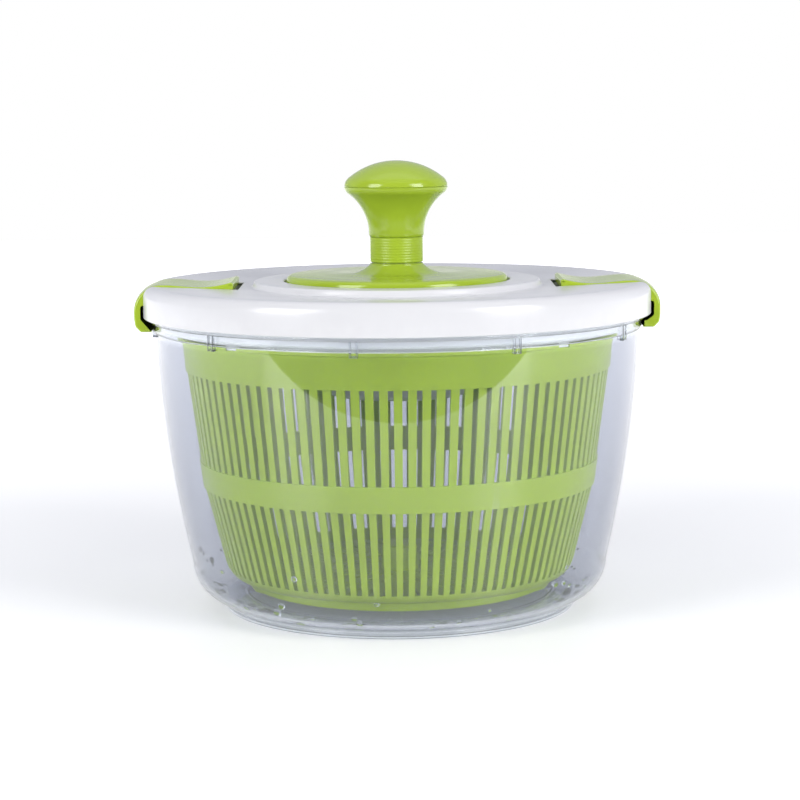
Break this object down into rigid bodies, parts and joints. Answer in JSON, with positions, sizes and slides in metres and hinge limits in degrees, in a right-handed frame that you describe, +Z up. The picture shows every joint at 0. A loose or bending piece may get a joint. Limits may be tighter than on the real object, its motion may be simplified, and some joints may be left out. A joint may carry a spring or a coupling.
{
  "type": "salad spinner",
  "caption": "Press-knob salad spinner: clear bowl, slotted green basket, white lid with a mushroom knob and rocker latches.",
  "frame": {"origin": "centre of the foot ring's underside, on the axis that the basket spins about", "axes": "+Z up along the spin axis; -Y is the front; the two latches stand on +X and -X"},
  "size_m": [0.2588, 0.25, 0.2192],
  "materials": {
    "clear_bowl": "clear moulded plastic, polished, with a faint cool tint",
    "foot_ring": "translucent soft plastic",
    "green_basket": "satin moulded plastic, apple green",
    "green_gloss": "glossy moulded plastic, apple green",
    "green_soft": "soft ribbed plastic, apple green",
    "white_lid": "glossy white moulded plastic",
    "white_inner": "plain white moulded plastic",
    "acetal": "natural acetal",
    "rod_plastic": "grey-white glass-filled plastic",
    "spring_steel": "stainless spring steel",
    "screw_steel": "zinc-plated steel",
    "pin_steel": "stainless steel"
  },
  "bodies": {
    "bowl": {"bowl": "clear_bowl", "foot_ring": "foot_ring"},
    "basket": {"basket": "green_basket", "basket_bush": "acetal"},
    "lid": {"lid_shell": "white_lid", "lid_liner": "white_inner", "liner_screws": "screw_steel", "drive_cover": "green_gloss", "guide_bush": "acetal", "mechanism_housing": "white_inner", "housing_screws": "screw_steel", "rod_bearing": "acetal", "latch_pin_right": "pin_steel", "latch_pin_left": "pin_steel"},
    "latch_right": {"latch_right": "green_gloss"},
    "latch_left": {"latch_left": "green_gloss"},
    "plunger": {"knob_cap": "green_gloss", "knob_body": "green_gloss", "stop_sleeve": "green_soft", "plunger_tube": "green_gloss", "drive_nut": "acetal", "return_spring": "spring_steel"},
    "rod": {"spiral_rod": "rod_plastic", "clutch_hub": "acetal", "clutch_pawls": "acetal", "rod_clip": "spring_steel", "plate_washer": "spring_steel", "spring_cap": "acetal"},
    "drive_plate": {"drive_plate": "white_inner", "ratchet_ring": "rod_plastic", "clutch_cover": "white_inner", "cover_screws": "screw_steel"}
  },
  "joints": [
    {"name": "knob_press", "type": "slide", "parent": "lid", "child": "plunger", "axis": [0, 0, 1], "range_m": [0, 0.032], "deforming": ["return_spring"]},
    {"name": "rod_spin", "type": "hinge", "parent": "lid", "child": "rod", "pos_m": [0, 0, 0.12], "axis": [0, 0, 1], "range_deg": [-490, 10]},
    {"name": "plate_spin", "type": "hinge", "parent": "lid", "child": "drive_plate", "pos_m": [0, 0, 0.12], "axis": [0, 0, 1], "range_deg": [-490, 10]},
    {"name": "basket_spin", "type": "hinge", "parent": "bowl", "child": "basket", "pos_m": [0, 0, 0.05], "axis": [0, 0, 1], "range_deg": [-490, 10]},
    {"name": "lid_lift", "type": "slide", "parent": "bowl", "child": "lid", "axis": [0, 0, 1], "range_m": [0, 0.16]},
    {"name": "latch_right_tilt", "type": "hinge", "parent": "lid", "child": "latch_right", "pos_m": [0.1195, 0, 0.1532], "axis": [0, -1, 0], "range_deg": [0, 9.5]},
    {"name": "latch_left_tilt", "type": "hinge", "parent": "lid", "child": "latch_left", "pos_m": [-0.1195, 0, 0.1532], "axis": [0, 1, 0], "range_deg": [0, 9.5]}
  ],
  "couplings": [
    {"joint": "rod_spin", "follows": "knob_press", "rad_per_m": -261.8},
    {"joint": "plate_spin", "follows": "knob_press", "rad_per_m": -261.8},
    {"joint": "basket_spin", "follows": "knob_press", "rad_per_m": -261.8}
  ]
}
